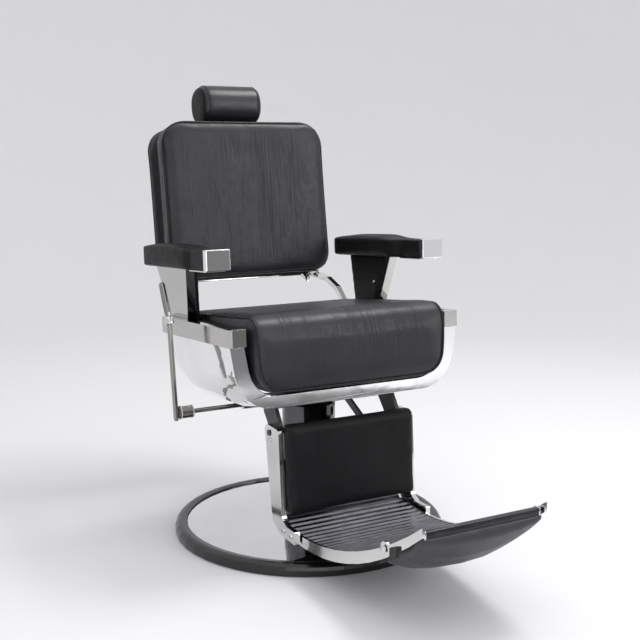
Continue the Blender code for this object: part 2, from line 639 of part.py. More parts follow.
def make_flip_pad(finish):
    """The front of the tray: a ribbed board and, under it, a calf cushion that turns over on two pins."""
    rear, front = FLIP_HINGE.x - 0.004, -0.692
    plate = prism(ribbed(rear, front, 0.004), -0.100, 0.100)
    taper(plate)
    for v in plate.verts:
        v.co.x *= 1 - 0.035 * min(1.0, max(0.0, (rear - v.co.y) / (rear - front)))
    board = add("flip_board", plate, finish["aluminium"])
    for side, sign in SIDES:
        edge = tray_edge(FLIP_HINGE.x) - CHEEK_WALL - 0.0015
        tip = FLIP_HINGE.x - 0.028
        outline = capsule(FLIP_HINGE, (tip, tray_height(tip) - 0.009), 0.0080, 0.0035, 6)
        inner, outer = sorted((sign * (edge - 0.008), sign * edge))
        boolean(board, add(f"lug_{side}", prism(outline, inner, outer), None), "UNION")
        inner, outer = sorted((sign * (edge - 0.002), sign * (tray_edge(FLIP_HINGE.x) + 0.003)))
        boolean(board, add(f"flip_pin_{side}", rod(FLIP_HINGE, inner, outer, 0.0044), None), "UNION")
    under = [
        (-0.612, 0.153), (-0.578, 0.141), (-0.574, 0.118), (-0.598, 0.110), (-0.640, 0.128), (-0.680, 0.160),
        (-0.706, 0.198), (-0.7050, 0.2195), (-0.6935, 0.2235),
    ]
    top = [(y, tray_height(y) - RIB_HEIGHT - 0.004 - GAP) for y in (front + 0.074 * k / 5 for k in range(6))]
    bm = bmesh.new()
    rings = []
    for k in range(9):
        x = 0.137 * math.sin(math.pi / 2 * (k / 4 - 1))
        share = 1 - 0.62 * abs(x / 0.137) ** 2.6
        ring = [bm.verts.new((x, *point)) for point in top]
        for y, z in under:
            roof = tray_height(y) - 0.026 if z < 0.20 else z
            ring.append(bm.verts.new((x, y, roof + (z - roof) * (share if z < roof else 1.0))))
        rings.append(ring)
    for a, b in zip(rings, rings[1:]):
        for k in range(len(a)):
            m = (k + 1) % len(a)
            bm.faces.new((a[k], a[m], b[m], b[k]))
    bm.faces.new(rings[0])
    bm.faces.new(rings[-1])
    add("flip_cushion", bm, finish["leather"])


# --- side lever and recline link -------------------------------------------------------------
def make_lever(finish):
    shaft = add("lever_shaft", rod(LEVER_AXIS, -0.345, -0.083, 0.0055), finish["chrome"])
    boolean(shaft, add("lever_hub", rod(LEVER_AXIS, -0.345, -0.312, 0.0145), None), "UNION")
    low, knee, high = Vector((0.004, 0.322)), Vector((0.034, 0.548)), Vector((0.080, 0.634))
    bar = add("lever_bar", prism(capsule(low, knee, 0.0075, 0.0075), -0.3535, -0.345 - GAP), finish["chrome"])
    step = (high - knee).normalized()
    grip_start = knee + step * 0.010
    profile = [
        (0.0, 0.0), (0.0055, 0.0), (0.0075, 0.008), (0.0080, 0.030),
        (0.0075, 0.078), (0.0050, 0.084), (0.0, 0.084),
    ]
    grip = turned(profile, 16)
    turn = Matrix.Rotation(-math.atan2(step.x, step.y), 4, "X")
    bmesh.ops.transform(grip, matrix=Matrix.Translation((-0.3495, *grip_start)) @ turn, verts=grip.verts)
    add("lever_grip", grip, finish["rubber"])
    bevel(bar, 0.0015)


def make_link(finish):
    rear, front = BACK_HINGE + CRANK, LEG_HINGE + CRANK
    link = add("recline_link", prism(capsule(rear, front, 0.0095, 0.0095), 0.1128, 0.1195), finish["steel"])
    for name, pin in (("rear", rear), ("front", front)):
        boolean(link, add(f"link_bore_{name}", rod(pin, 0.09, 0.14, 0.0055), None))


def main():
    for old in list(bpy.data.objects):
        bpy.data.objects.remove(old)
    finish = make_materials()
    rake = empty("seat_rake", 0.0, 0.0, 0.0)
    pivot = Vector((0.0, 0.0, TUB_BOTTOM))
    turn = Matrix.Rotation(-SEAT_RAKE, 4, "X")
    rake.matrix_world = Matrix.Translation(pivot) @ turn @ Matrix.Translation(-pivot)
    lean = empty("back_lean", BACK_ORIGIN.x, BACK_ORIGIN.y, -BACK_RAKE)
    make_base(finish)
    make_ram(finish)
    make_underframe(finish)
    make_seat_frame(finish, rake)
    make_tub(finish, rake)
    make_seat_cushion(finish, rake)
    make_arms(finish, rake)
    make_back(finish, lean)
    make_back_hinge(finish)
    make_headrest(finish, lean)
    make_release(finish)
    make_legs(finish)
    make_tray(finish)
    make_flip_pad(finish)
    make_lever(finish)
    make_link(finish)


main()
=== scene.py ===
"""Looks of the hydraulic barber chair: black leather upholstery, chrome plate and a pale studio."""

import math

import bmesh
import bpy
from mathutils import Matrix, Vector
from mathutils.bvhtree import BVHTree


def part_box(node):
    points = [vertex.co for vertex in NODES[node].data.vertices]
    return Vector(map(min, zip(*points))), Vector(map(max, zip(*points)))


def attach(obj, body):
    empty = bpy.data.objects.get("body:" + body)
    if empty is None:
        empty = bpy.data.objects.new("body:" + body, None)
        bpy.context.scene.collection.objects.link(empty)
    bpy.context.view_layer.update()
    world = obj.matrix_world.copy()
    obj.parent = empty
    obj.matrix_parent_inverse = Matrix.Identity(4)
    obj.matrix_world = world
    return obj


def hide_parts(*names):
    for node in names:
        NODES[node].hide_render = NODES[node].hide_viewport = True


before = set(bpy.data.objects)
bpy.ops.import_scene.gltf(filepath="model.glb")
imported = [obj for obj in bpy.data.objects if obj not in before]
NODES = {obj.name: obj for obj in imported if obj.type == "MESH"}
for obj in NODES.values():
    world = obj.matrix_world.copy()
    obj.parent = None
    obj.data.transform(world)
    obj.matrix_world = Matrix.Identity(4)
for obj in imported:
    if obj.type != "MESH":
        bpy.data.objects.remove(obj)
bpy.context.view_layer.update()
SIDES = (("left", 1), ("right", -1))
ARM_X = 0.288

# The two tilted groups of the CAD model: the seat, raked about its tub, and the leaning back.
SEAT_RAKE = math.radians(3.5)
TUB_BOTTOM = 0.359
UP_TO_TUB = Matrix.Translation((0, 0, TUB_BOTTOM))
SEAT = UP_TO_TUB @ Matrix.Rotation(-SEAT_RAKE, 4, "X") @ UP_TO_TUB.inverted()
UNRAKED = SEAT.inverted()
BACK_RAKE = math.radians(8.4)
BACK = Matrix.Translation((0, 0.304, 0.609)) @ Matrix.Rotation(-BACK_RAKE, 4, "X")


# --- node helpers ----------------------------------------------------------------------------
class Look:
    """A Principled material and short calls that add nodes to it."""

    def __init__(self, name, color, roughness, metallic=0.0, tilt=None):
        self.material = bpy.data.materials.new(name)
        self.material.use_nodes = True
        self.tree = self.material.node_tree
        self.shader = self.tree.nodes["Principled BSDF"]
        self.shader.inputs["Base Color"].default_value = (*color, 1)
        self.shader.inputs["Roughness"].default_value = roughness
        self.shader.inputs["Metallic"].default_value = metallic
        self.bumps = []
        place = self.add("ShaderNodeTexCoord")
        self.place = place.outputs["Object"]
        if tilt:
            turned = self.add("ShaderNodeMapping", {"Vector": self.place, "Rotation": (tilt, 0, 0)})
            self.place = turned.outputs["Vector"]

    def add(self, kind, inputs=None, **settings):
        made = self.tree.nodes.new(kind)
        for key, value in settings.items():
            setattr(made, key, value)
        for key, value in (inputs or {}).items():
            if isinstance(value, bpy.types.NodeSocket):
                self.tree.links.new(value, made.inputs[key])
            else:
                made.inputs[key].default_value = value
        return made

    def math(self, operation, a, b=0.0, clamp=False):
        made = self.add("ShaderNodeMath", {0: a, 1: b}, operation=operation, use_clamp=clamp)
        return made.outputs[0]

    def stretch(self, scale):
        return self.add("ShaderNodeMapping", {"Vector": self.place, "Scale": scale}).outputs["Vector"]

    def noise(self, scale, detail=3.0, roughness=0.5, distortion=0.0, vector=None):
        inputs = {"Vector": vector or self.place, "Scale": scale, "Detail": detail, "Roughness": roughness,
                  "Distortion": distortion}
        return self.add("ShaderNodeTexNoise", inputs).outputs["Fac"]

    def cells(self, scale):
        inputs = {"Vector": self.place, "Scale": scale}
        return self.add("ShaderNodeTexVoronoi", inputs, feature="DISTANCE_TO_EDGE").outputs["Distance"]

    def spread(self, value, low, high, to_low, to_high, smooth=False):
        inputs = {"Value": value, "From Min": low, "From Max": high, "To Min": to_low, "To Max": to_high}
        made = self.add("ShaderNodeMapRange", inputs)
        if smooth:
            made.interpolation_type = "SMOOTHSTEP"
        return made.outputs["Result"]

    def blend(self, share, a, b):
        made = self.add("ShaderNodeMix", {"Factor": share}, data_type="RGBA")
        for socket, value in ((made.inputs[6], a), (made.inputs[7], b)):
            if isinstance(value, bpy.types.NodeSocket):
                self.tree.links.new(value, socket)
            else:
                socket.default_value = (*value, 1)
        return made.outputs[2]

    def bump(self, height, strength, distance):
        inputs = {"Height": height, "Strength": strength, "Distance": distance}
        if self.bumps:
            inputs["Normal"] = self.bumps[-1]
        self.bumps.append(self.add("ShaderNodeBump", inputs).outputs["Normal"])

    def finish(self, color=None, roughness=None, **fixed):
        normal = self.bumps[-1] if self.bumps else None
        for key, value in (("Base Color", color), ("Roughness", roughness), ("Normal", normal)):
            if value is not None:
                self.tree.links.new(value, self.shader.inputs[key])
        for key, value in fixed.items():
            self.shader.inputs[key.replace("_", " ")].default_value = value
        return self.material


def crease_field(look, x, z, half, low, high):
    """1 on the middle of a face, within half of its centre and between two heights, and 0 outside."""
    field = look.spread(look.math("ABSOLUTE", x), half - 0.025, half + 0.015, 1, 0, True)
    field = look.math("MULTIPLY", field, look.spread(z, low - 0.03, low + 0.05, 0, 1, True))
    return look.math("MULTIPLY", field, look.spread(z, high - 0.04, high + 0.01, 1, 0, True))


def crease_lines(look, x, along):
    """Thin lines at three widths, where a noise that is stretched along them crosses its middle value."""
    total = None
    for across, down, thinness, weight in ((34, 1.3, 52, 0.85), (76, 2.4, 34, 0.55), (170, 5.0, 18, 0.30)):
        place = look.add("ShaderNodeCombineXYZ", {
            "X": look.math("MULTIPLY", x, float(across)),
            "Y": look.math("MULTIPLY", along, float(down)),
            "Z": float(across),
        })
        grain = look.noise(1.0, 2.0, 0.5, 0.25, place.outputs["Vector"])
        away = look.math("ABSOLUTE", look.math("SUBTRACT", grain, 0.5))
        line = look.math("SUBTRACT", 1.0, look.math("MULTIPLY", away, float(thinness)), True)
        line = look.math("MULTIPLY", line, weight)
        total = line if total is None else look.math("ADD", total, line)
    return look.math("MINIMUM", total, 1.0)


HIDE = (0.0100, 0.0100, 0.0128)
HIDE_WORN = (0.0160, 0.0158, 0.0200)


def leather(name, tilt=None, creases=None, dark=HIDE, light=HIDE_WORN, roughness=0.40, specular=0.42):
    """Grained upholstery leather. creases is (half width, low z, high z, strength) of its fine creases."""
    look = Look(name, dark, 0.45, tilt=tilt)
    patches = look.noise(7, 4, 0.6, 0.3)
    tint = look.spread(patches, 0.35, 0.65, 0, 1)
    pores = look.cells(640)
    look.bump(pores, 0.28, 0.0006)
    look.bump(look.noise(190, 5, 0.6), 0.20, 0.0007)
    look.bump(look.noise(26, 4, 0.55, 0.6), 0.16, 0.004)
    color = look.blend(tint, dark, light)
    rough = look.spread(look.noise(60, 4), 0.3, 0.7, roughness - 0.05, roughness + 0.06)
    if creases:
        half, low, high, strength = creases
        axes = look.add("ShaderNodeSeparateXYZ", {"Vector": look.place}).outputs
        field = crease_field(look, axes["X"], axes["Z"], half, low, high)
        lines = crease_lines(look, axes["X"], look.math("SUBTRACT", axes["Z"], axes["Y"]))
        broken = look.noise(1.0, 3.0, 0.6, 0.0, look.stretch((30, 8, 8)))
        lines = look.math("MULTIPLY", lines, field)
        lines = look.math("MULTIPLY", lines, look.spread(broken, 0.42, 0.60, 0.15, 1.0))
        look.bump(look.math("MULTIPLY", lines, -1.0), strength, 0.0011)
        streak = look.noise(1.0, 3.0, 0.6, 0.2, look.stretch((95, 3.5, 3.5)))
        look.bump(look.math("MULTIPLY", streak, field), 0.16, 0.0010)
        # The crease lines also darken the base colour: painted shade in the creases.
        color = look.blend(look.math("MULTIPLY", lines, 0.50), color, tuple(c * 0.35 for c in dark))
        rough = look.math("ADD", rough, look.math("MULTIPLY", lines, 0.08))
    return look.finish(color, rough, Specular_IOR_Level=specular)


def chrome(name, color, smooth=0.045, wave=0.05):
    """Chrome plate with faint smudges, hair scratches and a slight waviness."""
    look = Look(name, color, smooth, 1.0)
    smudge = look.noise(9, 5, 0.62, 0.8)
    scratch = look.noise(1.0, 2, 0.6, 0.0, look.stretch((900, 30, 40)))
    rough = look.spread(smudge, 0.35, 0.75, smooth, smooth + 0.075)
    rough = look.math("ADD", rough, look.spread(scratch, 0.68, 0.80, 0.0, 0.06))
    look.bump(look.noise(14, 2, 0.5, 0.4), wave, 0.004)
    look.bump(scratch, 0.02, 0.0002)
    tone = look.blend(look.spread(smudge, 0.3, 0.8, 0, 1), color, tuple(c * 0.90 for c in color))
    return look.finish(tone, rough)


def rubber(name, smooth, coat):
    """Black rubber with a little dust."""
    color = (0.006, 0.006, 0.007)
    look = Look(name, color, smooth)
    dust = look.noise(45, 6, 0.65, 0.5)
    look.bump(look.noise(420, 3), 0.12, 0.0004)
    look.bump(look.noise(30, 2), 0.05, 0.002)
    tone = look.blend(look.spread(dust, 0.45, 0.75, 0, 1), color, tuple(c * 1.9 + 0.004 for c in color))
    rough = look.spread(dust, 0.3, 0.8, smooth, smooth + 0.14)
    return look.finish(tone, rough, Coat_Weight=coat, Coat_Roughness=0.08)


def painted(name):
    """Black paint with orange peel and worn patches."""
    color = (0.030, 0.030, 0.032)
    look = Look(name, color, 0.42)
    peel = look.noise(320, 2, 0.5)
    look.bump(peel, 0.18, 0.0005)
    wear = look.spread(look.noise(24, 8, 0.7, 0.4), 0.62, 0.72, 0, 1)
    tone = look.blend(wear, color, tuple(c * 1.8 for c in color))
    return look.finish(tone, look.spread(peel, 0.3, 0.7, 0.34, 0.48))


def cast(name, color):
    """Satin cast aluminium, brushed along the ribs."""
    look = Look(name, color, 0.30, 1.0)
    brushed = look.noise(1.0, 4, 0.6, 0.0, look.stretch((14, 700, 700)))
    stain = look.noise(22, 6, 0.65, 0.6)
    look.bump(brushed, 0.16, 0.0004)
    look.bump(look.noise(260, 3), 0.10, 0.0005)
    tone = look.blend(look.spread(stain, 0.35, 0.7, 0, 1), color, tuple(c * 0.62 for c in color))
    # Faces turned downwards are made nearly black: painted shade on the underside.
    facing = look.add("ShaderNodeSeparateXYZ", {"Vector": look.add("ShaderNodeTexCoord").outputs["Normal"]})
    tone = look.blend(look.spread(facing.outputs["Z"], -0.05, -0.35, 0, 1), tone, (0.02, 0.02, 0.022))
    return look.finish(tone, look.spread(brushed, 0.25, 0.75, 0.22, 0.38))


def plywood(name):
    """Black-stained plywood."""
    look = Look(name, (0.30, 0.20, 0.12), 0.7)
    rings = look.noise(1.0, 5, 0.6, 1.2, look.stretch((9, 160, 160)))
    look.bump(rings, 0.3, 0.0008)
    tone = look.blend(rings, (0.016, 0.014, 0.012), (0.034, 0.029, 0.024))
    return look.finish(tone, look.spread(rings, 0.2, 0.8, 0.6, 0.8))


LEATHER = leather("leather_plain", roughness=0.34, specular=0.5)
LEATHER_BACK = leather("leather_back", BACK_RAKE, (0.190, 0.655, 1.035, 0.55))
LEATHER_SEAT = leather("leather_seat", SEAT_RAKE, (0.205, 0.440, 0.800, 0.50), (0.0135, 0.0130, 0.0168),
                       (0.0215, 0.0208, 0.0262))
# A darker, duller copy of the leather for pieces whose sides stand in shade: painted shade.
LEATHER_SHADED = leather("leather_shaded", None, None, (0.0070, 0.0068, 0.0078), (0.0110, 0.0108, 0.0122), 0.46,
                       0.14)
LEATHER_CALF = leather("leather_calf", None, None, (0.0290, 0.0278, 0.0325), (0.0400, 0.0382, 0.0445))
PIPING = leather("leather_piping", None, None, (0.0050, 0.0050, 0.0055), (0.0085, 0.0085, 0.0092), 0.30, 0.30)
CHROME = chrome("chrome_plate", (0.76, 0.755, 0.745))
CHROME_BRIGHT = chrome("chrome_bright", (0.90, 0.90, 0.905), 0.04, 0.03)
CHROME_POST = chrome("chrome_post", (0.58, 0.57, 0.55), 0.07)
# A nearly black copy of the chrome for the sleeve over the pump: painted shade on the shadowed column.
CHROME_SLEEVE_SHADED = chrome("chrome_sleeve_shaded", (0.10, 0.10, 0.105), 0.12)
CHROME_BASE = chrome("chrome_base", (0.91, 0.91, 0.92), 0.025, 0.015)
CHROME_DARK = chrome("chrome_lever", (0.30, 0.29, 0.275), 0.14)
RUBBER = rubber("rubber_gloss", smooth=0.16, coat=0.20)
RUBBER_SOFT = rubber("rubber_matt", smooth=0.42, coat=0.0)
STEEL = painted("painted_steel")
CAST = cast("cast_aluminium", (0.15, 0.147, 0.163))
CAST_DARK = cast("cast_dark", (0.075, 0.072, 0.081))
PLY = plywood("plywood")


# --- carried-over CAD nodes ------------------------------------------------------------------
def dress(names, material, soften=0.0):
    """Gives CAD nodes their finish, and a small bevel as a modifier where one is asked for."""
    for name in names.split():
        node = NODES[name]
        node.data.materials.clear()
        node.data.materials.append(material)
        if soften:
            weld = node.modifiers.new("Weld", "WELD")
            weld.merge_threshold = 0.00005
            edge = node.modifiers.new("Bevel", "BEVEL")
            edge.width = soften
            edge.segments = 2
            edge.limit_method = "ANGLE"
            edge.angle_limit = math.radians(30)
            edge.harden_normals = True


dress("base_cover", CHROME_BASE)
dress("base_rim", RUBBER)
dress("lift_sleeve", CHROME_SLEEVE_SHADED)
dress("lever_bearing headrest_bar back_arm_left back_arm_right release_lever", CHROME)
dress("front_band", CHROME_BRIGHT, soften=0.0012)
dress("leg_bar_left leg_bar_right", CHROME, soften=0.0012)
dress("side_rail_left side_rail_right arm_post_left arm_post_right", CHROME_POST, soften=0.0008)
dress("arm_cap_left arm_cap_right", CHROME_BRIGHT, soften=0.0008)
dress("tray_cheek_left tray_cheek_right", CHROME)
dress("side_skirt_left side_skirt_right", CHROME_BRIGHT)
dress("lever_shaft lever_bar lever_grip", CHROME_DARK)
dress("flip_stop_left flip_stop_right", RUBBER_SOFT)
dress("base_plate pump_cylinder gland_nut piston_rod thrust_bearing seat_hub seat_plate", STEEL)
dress("leg_hinge_frame leg_shaft back_bearing_left back_bearing_right seat_frame recline_shaft", STEEL)
dress("headrest_socket headrest_pivot leg_board recline_link", STEEL)
dress("foot_tray", CAST)
dress("flip_board", CAST_DARK)
dress("cushion_board", PLY)


# --- soft pieces -----------------------------------------------------------------------------
def object_from(name, bm, material, smooth=True):
    mesh = bpy.data.meshes.new(name)
    bm.to_mesh(mesh)
    bm.free()
    made = bpy.data.objects.new(name, mesh)
    bpy.context.scene.collection.objects.link(made)
    mesh.materials.append(material)
    if smooth:
        mesh.shade_smooth()
    return made


def evaluated(obj):
    """An object's mesh with its modifiers applied."""
    graph = bpy.context.evaluated_depsgraph_get()
    return bpy.data.meshes.new_from_object(obj.evaluated_get(graph))


def apply_all(obj):
    mesh = evaluated(obj)
    obj.modifiers.clear()
    obj.data = mesh
    mesh.shade_smooth()


PADS = []
GROUPS = {"seat": SEAT, "backrest": BACK, "headrest": BACK}
LAST_FRAME = 20


def pad(name, nodes, body, material, voxel, inset, rounding, pressure, cap, keep=None, shape=None,
        calm=5, crown=None):
    """A stuffed piece, which a cloth simulation inflates later.

    It grows from CAD soft solids, or from a shape in their place, remeshed, drawn in by inset and rounded.
    cap is the most that the cloth may move, keep a weight on that, calm the smoothing after it and crown
    a last shaping."""
    bm = shape or bmesh.new()
    if shape is None:
        for node in nodes:
            bm.from_mesh(NODES[node].data)
    bmesh.ops.remove_doubles(bm, verts=bm.verts, dist=0.00005)
    source = [v.co.copy() for v in bm.verts]
    made = object_from(name, bm, material)
    even = made.modifiers.new("Remesh", "REMESH")
    even.mode = "VOXEL"
    even.voxel_size = voxel
    inner = made.modifiers.new("Inset", "DISPLACE")
    inner.mid_level = 0.0
    inner.strength = -inset
    soften = made.modifiers.new("Round", "SMOOTH")
    soften.iterations = rounding
    soften.factor = 0.5
    apply_all(made)
    start = [v.co.copy() for v in made.data.vertices]
    cloth = None
    cloth = made.modifiers.new("Cloth", "CLOTH")
    cloth.settings.quality = 4
    cloth.settings.mass = 0.25
    cloth.settings.tension_stiffness = 15
    cloth.settings.compression_stiffness = 15
    cloth.settings.shear_stiffness = 5
    cloth.settings.bending_stiffness = 4.0
    cloth.settings.use_pressure = True
    cloth.settings.uniform_pressure_force = pressure
    cloth.settings.effector_weights.gravity = 0.0
    cloth.collision_settings.use_collision = False
    cloth.point_cache.frame_start, cloth.point_cache.frame_end = 1, LAST_FRAME
    PADS.append({"made": made, "start": start, "cap": cap, "cloth": cloth, "keep": keep, "source": source,
                 "matrix": GROUPS.get(body, Matrix()), "calm": calm, "crown": crown})
    made.data.materials.clear()
    made.data.materials.append(material)
    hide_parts(*nodes)
    return made, body


def limited(made, start, moved, cap, keep):
    """Moves a pad's vertices from start towards moved, by cap at most."""
    for vertex, before, after in zip(made.data.vertices, start, moved):
        step = after - before
        most = cap * (keep(before) if keep else 1.0)
        if step.length > most:
            step = step.normalized() * most if step.length > 0 else step
        vertex.co = before + step


def fit(made, source, matrix, crown):
    """Stretches a pad, in its group's frame, to its source's box and a little more, then adds its crown."""
    proud = 0.001
    back = matrix.inverted()
    local = [back @ v.co for v in made.data.vertices]
    wanted = [back @ p for p in source]
    for axis in range(3):
        low, high = min(p[axis] for p in local), max(p[axis] for p in local)
        to_low = min(p[axis] for p in wanted) - proud
        to_high = max(p[axis] for p in wanted) + proud
        for p in local:
            p[axis] = to_low + (p[axis] - low) * (to_high - to_low) / (high - low)
    for vertex, p in zip(made.data.vertices, local):
        vertex.co = matrix @ (crown(p) if crown else p)


def inflate_all():
    """Runs the cloth of all pads at once, and turns its result into their meshes."""
    scene = bpy.context.scene
    scene.frame_start, scene.frame_end = 1, LAST_FRAME
    for number in range(1, LAST_FRAME + 1):
        scene.frame_set(number)
    for one in PADS:
        made, start, cap, cloth = one["made"], one["start"], one["cap"], one["cloth"]
        if cloth:
            moved = [v.co.copy() for v in evaluated(made).vertices]
            made.modifiers.remove(cloth)
        else:
            normals = [v.normal.copy() for v in made.data.vertices]
            moved = [a + n * cap for a, n in zip(start, normals)]
        limited(made, start, moved, cap, one["keep"])
        ease = made.modifiers.new("Ease", "SMOOTH")
        ease.iterations = one["calm"]
        finer = made.modifiers.new("Finer", "SUBSURF")
        finer.levels = finer.render_levels = 1
        apply_all(made)
        fit(made, one["source"], one["matrix"], one["crown"])
    scene.frame_set(1)


def seat_top(point):
    """How freely the seat cushion swells: not at all at its foot, and fully above its front's low edge."""
    low, high = 0.36, 0.46
    return min(1.0, max(0.0, ((UNRAKED @ point).z - low) / (high - low)))


def slab(matrix, half, low, high, top_radius, low_radius, front, rear):
    """A rounded panel between two depths of a tilted group."""
    bm = bmesh.new()
    loop = []
    for x, z, radius, first in ((half, high, top_radius, 0), (-half, high, top_radius, 90),
                                (-half, low, low_radius, 180), (half, low, low_radius, 270)):
        for k in range(9):
            a = math.radians(first + 90 * k / 8)
            loop.append((x - math.copysign(radius, x) + radius * math.cos(a),
                         z + (radius if z == low else -radius) + radius * math.sin(a)))
    rings = [[bm.verts.new(matrix @ Vector((x, y, z))) for x, z in loop] for y in (front, rear)]
    bm.faces.new(rings[0])
    bm.faces.new(rings[1])
    for k in range(len(loop)):
        m = (k + 1) % len(loop)
        bm.faces.new((rings[0][k], rings[0][m], rings[1][m], rings[1][k]))
    bmesh.ops.recalc_face_normals(bm, faces=bm.faces)
    return bm


def step(value, low, high):
    """A smooth step from 0 at low to 1 at high."""
    t = min(1.0, max(0.0, (value - low) / (high - low)))
    return t * t * (3 - 2 * t)


def arm_crown(sign):
    """The wide rear of an armrest stands up above its neck, and falls away to its sides and its rear end."""
    def raised(p):
        across = min(1.0, abs(p.x - sign * ARM_X) / 0.046)
        rise = 0.0105 * step(p.y, -0.020, 0.075) * (1 - 0.55 * step(p.y, 0.170, 0.285))
        p.z += rise * step(p.z, 0.672, 0.711) * (1 - 0.65 * across ** 2.4)
        return p

    return raised


def calf_ends(p):
    """The calf cushion's front corners fill out to the ends of its strip."""
    p.x *= 1 + 0.055 * step(-p.y, 0.630, 0.700) * step(p.z, 0.150, 0.205)
    return p


# The back's outline in its own leaning frame: half width, height and corner radii.
BACK_HALF, SHELL_HALF, BACK_HEIGHT = 0.2335, 0.2330, 0.406
TOP_RADIUS, LOW_RADIUS = 0.059, 0.042
CUSHION_FRONT, CUSHION_REAR = -0.010, 0.0565
SHELL_FRONT, BACK_DEPTH = 0.0572, 0.127

cushion_shape = slab(BACK, BACK_HALF, 0.0, BACK_HEIGHT, TOP_RADIUS, LOW_RADIUS, CUSHION_FRONT, CUSHION_REAR)
shell_shape = slab(BACK, SHELL_HALF, 0.0, BACK_HEIGHT, TOP_RADIUS, LOW_RADIUS, SHELL_FRONT, BACK_DEPTH)
riders = [
    pad("seat_upholstery", ["seat_cushion"], "seat", LEATHER_SEAT, 0.0055, 0.0025, 6, 2.0, 0.0030,
        keep=seat_top, calm=16),
    pad("back_upholstery", ["back_cushion", "back_board"], "backrest", LEATHER_BACK, 0.0055, 0.0030, 7, 3.5,
        0.0050, shape=cushion_shape, calm=9),
    pad("back_shell_cover", ["back_shell"], "backrest", LEATHER_SHADED, 0.0055, 0.002, 8, 1.5, 0.0035,
        shape=shell_shape),
    pad("headrest_roll", ["headrest_cushion"], "headrest", LEATHER, 0.0040, 0.001, 8, 3.0, 0.0035, calm=9),
    pad("leg_upholstery", ["leg_pad"], "legrest", LEATHER_SHADED, 0.0045, 0.001, 2, 1.5, 0.0020),
    pad("calf_upholstery", ["flip_cushion"], "calf_pad", LEATHER_CALF, 0.0040, 0.001, 3, 2.0, 0.0025, calm=3,
        crown=calf_ends),
]
for side, sign in SIDES:
    riders += [
        pad(f"arm_upholstery_{side}", [f"arm_pad_{side}"], "seat", LEATHER_SHADED, 0.0032, 0.0008, 2, 1.5,
            0.0015, calm=3, crown=arm_crown(sign)),
        pad(f"arm_panel_{side}", [f"arm_trim_{side}"], "seat", LEATHER_SHADED, 0.0035, 0.0008, 2, 1.0,
            0.0015),
        pad(f"side_panel_{side}", [f"side_infill_{side}"], "seat", LEATHER_SHADED, 0.0040, 0.001, 3, 1.0,
            0.002),
    ]
inflate_all()
for made, body in riders:
    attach(made, body)
for made, body in riders:
    if made.name == "headrest_roll":
        # The round ends, which face sideways, take the darker, duller leather copy: painted shade on the
        # ends.
        made.data.materials.append(LEATHER_SHADED)
        for face in made.data.polygons:
            face.material_index = int(abs(face.normal.x) > 0.80)
SURFACE = {}
for made, body in riders:
    places = [v.co for v in made.data.vertices]
    SURFACE[made.name] = BVHTree.FromPolygons(places, [p.vertices for p in made.data.polygons])


# --- seams and piping ------------------------------------------------------------------------
def tube(name, points, radius, material, body, cyclic=False, sides=8):
    """A round tube along points, closed at both ends or into a ring."""
    count = len(points)
    bm = bmesh.new()
    rings = []
    up = None
    for k in range(count):
        before = points[k - 1] if cyclic or k else points[k]
        after = points[(k + 1) % count] if cyclic or k < count - 1 else points[k]
        along = (after - before).normalized()
        if up is None:
            up = along.orthogonal().normalized()
        up = (up - along * up.dot(along)).normalized()
        across = along.cross(up)
        rings.append([bm.verts.new(points[k] + (up * math.cos(a) + across * math.sin(a)) * radius)
                      for a in (2 * math.pi * i / sides for i in range(sides))])
    pairs = list(zip(rings, rings[1:]))
    if not cyclic:
        bm.faces.new(rings[0])
        bm.faces.new(rings[-1])
    for a, b in pairs:
        for k in range(sides):
            bm.faces.new((a[k], a[(k + 1) % sides], b[(k + 1) % sides], b[k]))
    if cyclic:
        a, b = rings[-1], rings[0]
        shift = min(range(sides), key=lambda s: sum(
            (a[k].co - b[(k + s) % sides].co).length for k in range(sides)))
        for k in range(sides):
            bm.faces.new((a[k], a[(k + 1) % sides], b[(k + 1 + shift) % sides], b[(k + shift) % sides]))
    bmesh.ops.recalc_face_normals(bm, faces=bm.faces)
    made = object_from(name, bm, material)
    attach(made, body)
    return made


def smoothed(points, rounds, cyclic):
    for _ in range(rounds):
        fresh = [p.copy() for p in points]
        for k in range(0 if cyclic else 1, len(points) - (0 if cyclic else 1)):
            fresh[k] = (points[k - 1] + points[k] * 2 + points[(k + 1) % len(points)]) / 4
        points = fresh
    return points


def on_surface(piece, points, lift, cyclic=False, rounds=5):
    """Points dropped onto a pad's surface, lift above it, and smoothed."""
    tree = SURFACE[piece]
    found = []
    for point in points:
        place, normal, _, _ = tree.find_nearest(point)
        found.append(place + normal * lift)
    return smoothed(found, rounds, cyclic)


def ring_points(half, depth):
    """Points round the back's outline, a little in from its corners, at a depth of its leaning frame."""
    low, high, radius = 0.001, BACK_HEIGHT - 0.0005, 0.054
    corners = [(half - radius, high - radius, 0), (-half + radius, high - radius, 90),
               (-half + radius, low + radius, 180), (half - radius, low + radius, 270)]
    outline = []
    for x, z, first in corners:
        for k in range(9):
            a = math.radians(first + 90 * k / 8)
            outline.append(Vector((x + radius * math.cos(a), 0, z + radius * math.sin(a))))
    dense = []
    for a, b in zip(outline, outline[1:] + outline[:1]):
        steps = max(1, int((b - a).length / 0.006))
        dense += [a.lerp(b, k / steps) for k in range(steps)]
    return [BACK @ Vector((p.x, depth, p.z)) for p in dense]


for name, piece, half, depth, lift, radius in (
        ("back_piping", "back_upholstery", BACK_HALF, 0.003, 0.0016, 0.0033),
        ("back_welt", "back_upholstery", BACK_HALF, 0.054, 0.0004, 0.0022),
        ("shell_piping", "back_shell_cover", SHELL_HALF, BACK_DEPTH - 0.004, 0.0006, 0.0026)):
    tube(name, on_surface(piece, ring_points(half, depth), lift, True), radius, PIPING, "backrest", True)


def quarter(count):
    """Angles of a quarter turn, both ends included."""
    return [math.pi / 2 * k / count for k in range(count + 1)]


